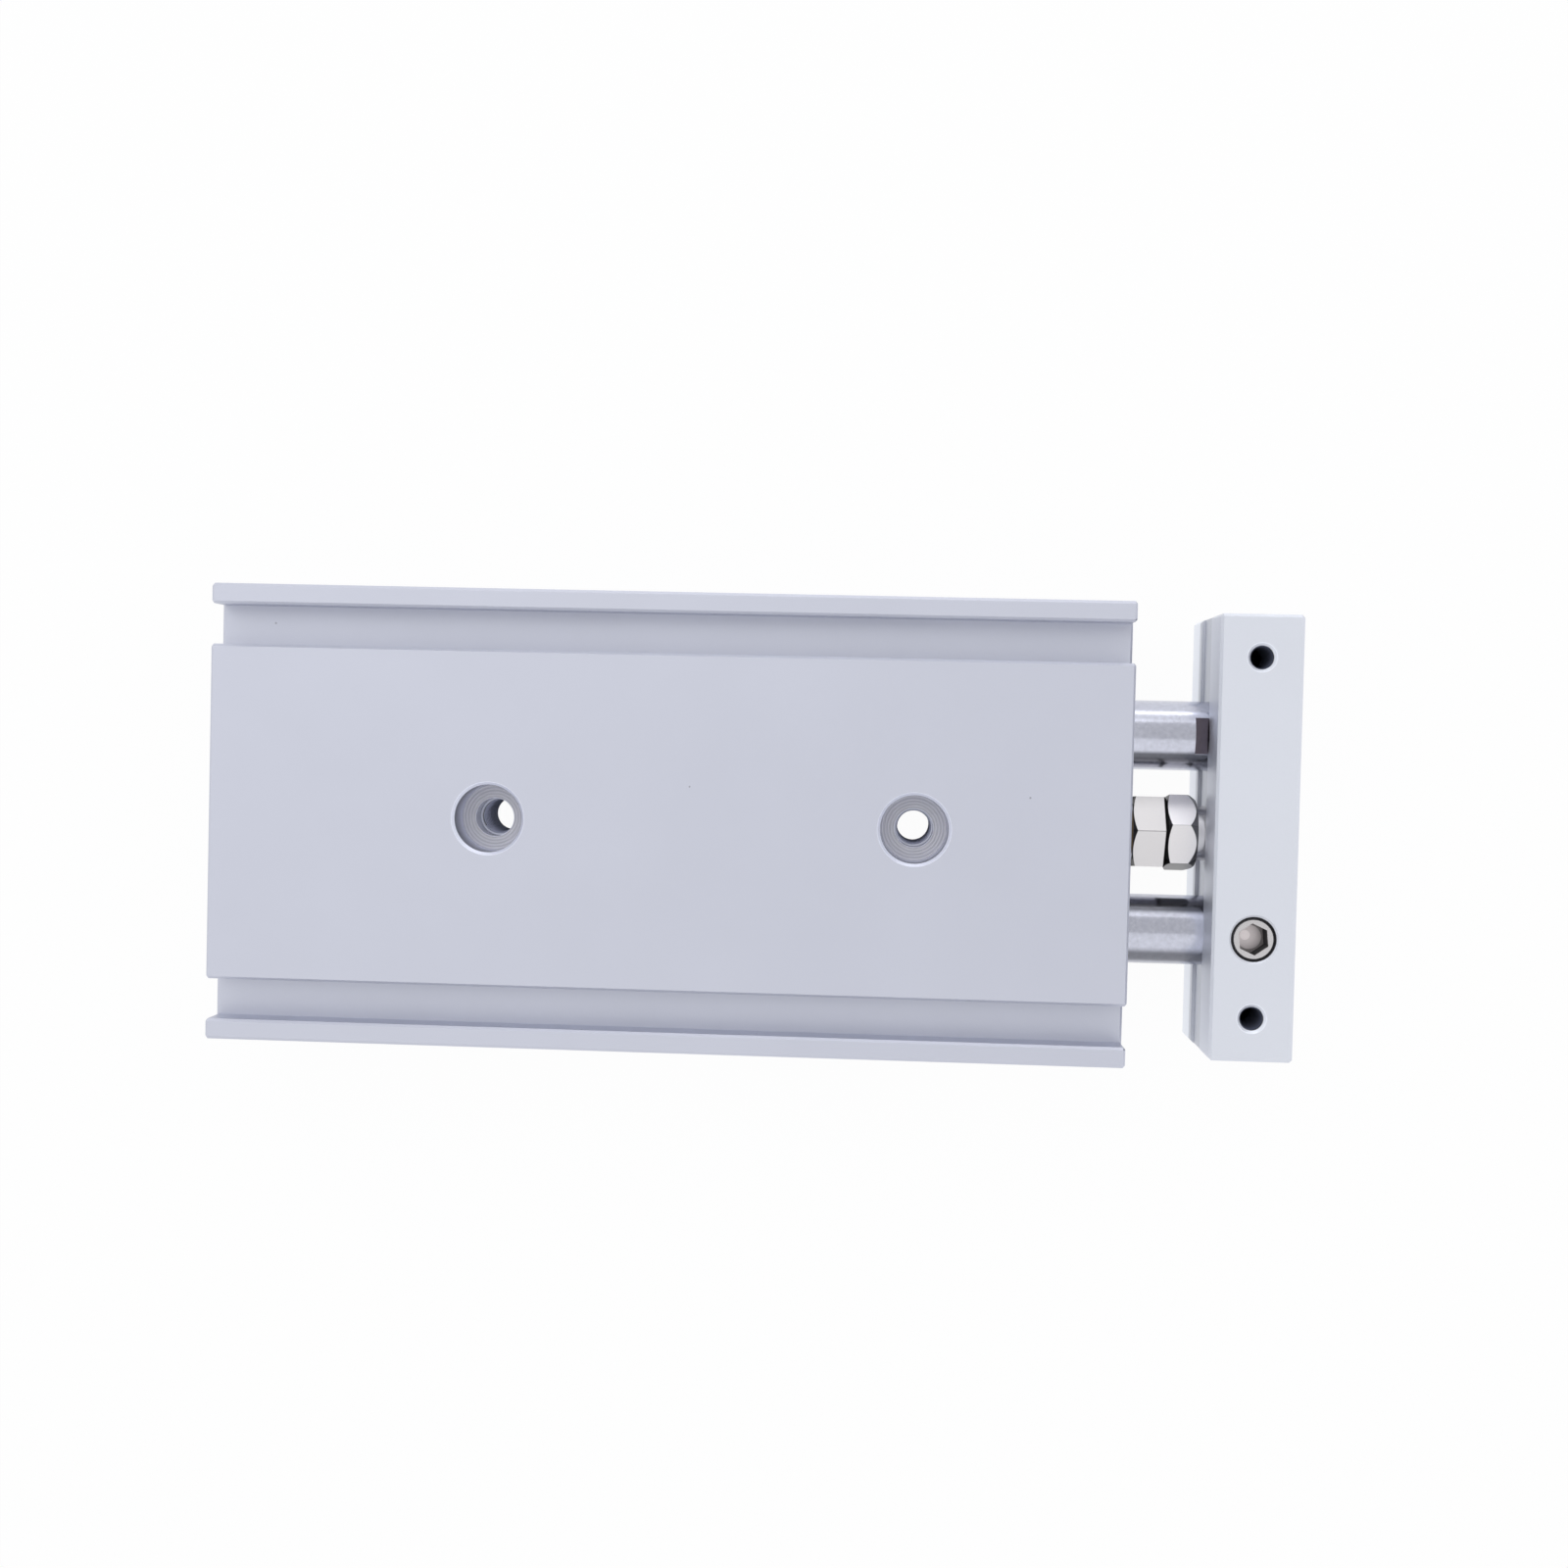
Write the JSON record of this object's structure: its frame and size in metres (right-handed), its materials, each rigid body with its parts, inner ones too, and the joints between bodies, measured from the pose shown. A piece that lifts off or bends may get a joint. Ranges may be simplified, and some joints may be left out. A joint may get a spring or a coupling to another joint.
{
  "type": "guided pneumatic cylinder",
  "caption": "Twin-bore block cylinder whose two parallel rods carry one end plate; slides under air pressure without turning.",
  "frame": {"origin": "on the housing's mounting face, midway between its two mounting holes", "axes": "+X along the stroke towards the end plate, +Y across the bores towards the rod that is bolted to the plate, +Z out of the grooved face"},
  "size_m": [0.153, 0.0648, 0.025],
  "materials": {
    "anodised_aluminium": "satin, bead-blasted and clear anodised",
    "hard_chrome": "ground and polished hard chrome",
    "turned_aluminium": "turned, chromated",
    "nickel_steel": "nickel plated",
    "bright_steel": "bright zinc",
    "phosphated_steel": "phosphated",
    "black_steel": "black oxide",
    "seal_rubber": "moulded nitrile",
    "cushion_urethane": "moulded urethane",
    "wear_resin": "filled resin",
    "bonded_magnet": "bonded ferrite"
  },
  "bodies": {
    "cylinder_body": {"housing": "anodised_aluminium", "rod_cover_a": "turned_aluminium", "rod_cover_b": "turned_aluminium", "rod_cover_o_ring_a": "seal_rubber", "rod_cover_o_ring_b": "seal_rubber", "rod_seal_a": "seal_rubber", "rod_seal_b": "seal_rubber", "seal_retainer_a": "bright_steel", "seal_retainer_b": "bright_steel", "front_snap_ring_a": "phosphated_steel", "front_snap_ring_b": "phosphated_steel", "head_cover_a": "turned_aluminium", "head_cover_b": "turned_aluminium", "head_cover_o_ring_a": "seal_rubber", "head_cover_o_ring_b": "seal_rubber", "rear_snap_ring_a": "phosphated_steel", "rear_snap_ring_b": "phosphated_steel", "port_plugs": "bright_steel"},
    "rod_assembly": {"end_plate": "anodised_aluminium", "piston_rod_a": "hard_chrome", "piston_rod_b": "hard_chrome", "piston_a": "turned_aluminium", "piston_b": "turned_aluminium", "wear_ring_a": "wear_resin", "wear_ring_b": "wear_resin", "magnet_a": "bonded_magnet", "magnet_b": "bonded_magnet", "piston_seal_a": "seal_rubber", "piston_seal_b": "seal_rubber", "rear_cushion_a": "cushion_urethane", "rear_cushion_b": "cushion_urethane", "front_cushion_a": "cushion_urethane", "front_cushion_b": "cushion_urethane", "rod_a_screw": "black_steel", "rod_b_set_screw": "nickel_steel", "stop_bolt": "nickel_steel", "stop_pad": "cushion_urethane", "lock_nut": "nickel_steel", "nut_washer": "nickel_steel"}
  },
  "joints": [
    {"name": "stroke", "type": "slide", "parent": "cylinder_body", "child": "rod_assembly", "axis": [1, 0, 0], "range_m": [0, 0.06]}
  ]
}
